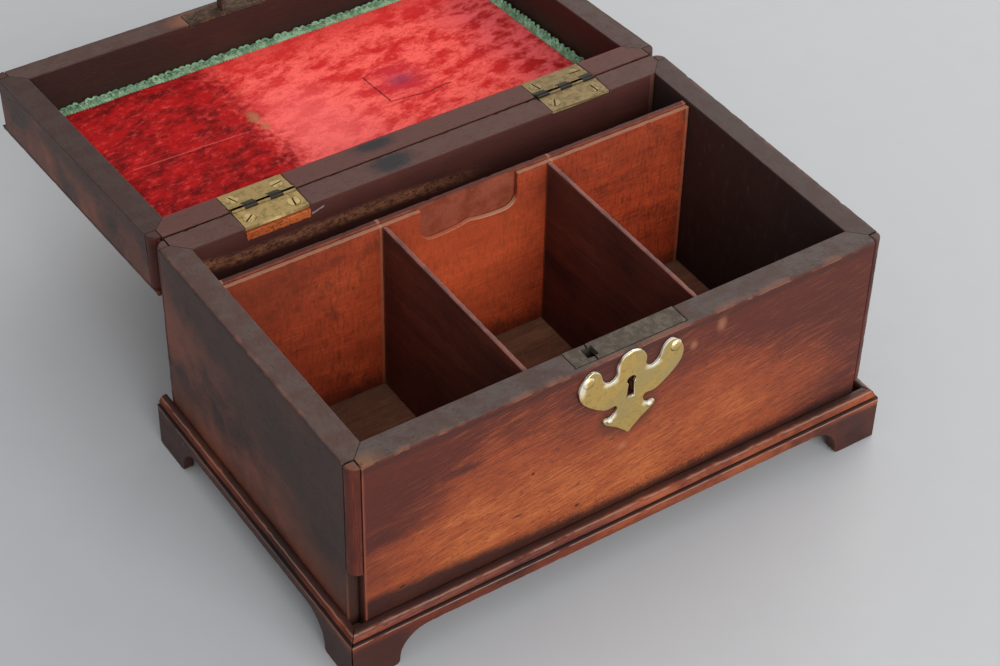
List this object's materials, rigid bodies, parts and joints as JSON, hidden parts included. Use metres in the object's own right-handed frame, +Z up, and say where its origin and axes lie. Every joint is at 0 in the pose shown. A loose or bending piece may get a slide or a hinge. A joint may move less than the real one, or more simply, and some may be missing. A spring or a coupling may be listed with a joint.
{
  "type": "tea caddy",
  "caption": "Wooden tea caddy with a hinged lid, divided interior, sliding inner board, box lock, bat-wing escutcheon, velvet-lined lid and bracket-footed plinth.",
  "frame": {"origin": "bottom centre of the open caddy's bounding box: on the floor, mid-width, close to the line of the hinges", "axes": "+X to the right seen from the escutcheon side, +Y from the escutcheon to the opened lid, +Z up"},
  "size_m": [0.2644, 0.3186, 0.1121],
  "materials": {
    "mahogany": "worn wax polish over red-brown mahogany",
    "dark_mahogany": "dark, dry and unpolished",
    "red_mahogany": "orange-red, mottled, matt",
    "repair_wood": "newer orange wood, matt",
    "red_velvet": "worn cotton velvet",
    "green_braid": "faded looped braid",
    "brass": "tarnished, rubbed bright at the edges",
    "dark_steel": "dark, worn"
  },
  "bodies": {
    "carcase": {"front_wall": "mahogany", "back_wall": "mahogany", "left_wall": "mahogany", "right_wall": "mahogany", "bottom_board": "dark_mahogany", "corner_bead_front_left": "mahogany", "corner_bead_front_right": "mahogany", "corner_bead_back_left": "mahogany", "corner_bead_back_right": "mahogany", "plinth_front": "mahogany", "plinth_left": "mahogany", "plinth_right": "mahogany", "plinth_back": "mahogany", "plinth_moulding_front": "mahogany", "plinth_moulding_left": "mahogany", "plinth_moulding_right": "mahogany", "notched_partition": "red_mahogany", "cross_divider_left": "dark_mahogany", "cross_divider_right": "dark_mahogany", "hinge_left_body_leaf": "brass", "hinge_left_body_screw_1": "brass", "hinge_left_body_screw_2": "brass", "hinge_left_pin": "dark_steel", "hinge_right_body_leaf": "brass", "hinge_right_body_screw_1": "brass", "hinge_right_body_screw_2": "brass", "hinge_right_pin": "dark_steel", "hinge_patch": "repair_wood", "lock_selvedge": "brass", "lock_case": "brass", "lock_spring": "dark_steel", "lock_screw_left": "brass", "lock_screw_right": "brass", "escutcheon": "brass"},
    "lid": {"lid_front_wall": "mahogany", "lid_back_wall": "mahogany", "lid_left_wall": "mahogany", "lid_right_wall": "mahogany", "lid_top_panel": "mahogany", "lid_corner_bead_front_left": "mahogany", "lid_corner_bead_front_right": "mahogany", "lid_corner_bead_back_left": "mahogany", "lid_corner_bead_back_right": "mahogany", "lid_edge_bead_front": "mahogany", "lid_edge_bead_back": "mahogany", "lid_edge_bead_left": "mahogany", "lid_edge_bead_right": "mahogany", "velvet_lining": "red_velvet", "lining_braid": "green_braid", "hinge_left_lid_leaf": "brass", "hinge_left_lid_screw_1": "brass", "hinge_left_lid_screw_2": "brass", "hinge_right_lid_leaf": "brass", "hinge_right_lid_screw_1": "brass", "hinge_right_lid_screw_2": "brass", "link_plate": "brass", "link_plate_screw_left": "brass", "link_plate_screw_right": "brass"},
    "lock_bolt": {"lock_bolt": "dark_steel"},
    "sliding_partition": {"sliding_partition": "red_mahogany"}
  },
  "joints": [
    {"name": "lid_hinge", "type": "hinge", "parent": "carcase", "child": "lid", "pos_m": [0, 0.00347, 0.1097], "axis": [1, 0, 0], "range_deg": [0, 184.3]},
    {"name": "partition_slide", "type": "slide", "parent": "carcase", "child": "sliding_partition", "axis": [0, 0, 1], "range_m": [0, 0.02]},
    {"name": "bolt_slide", "type": "slide", "parent": "carcase", "child": "lock_bolt", "axis": [-1, 0, 0], "range_m": [0, 0.005]}
  ]
}
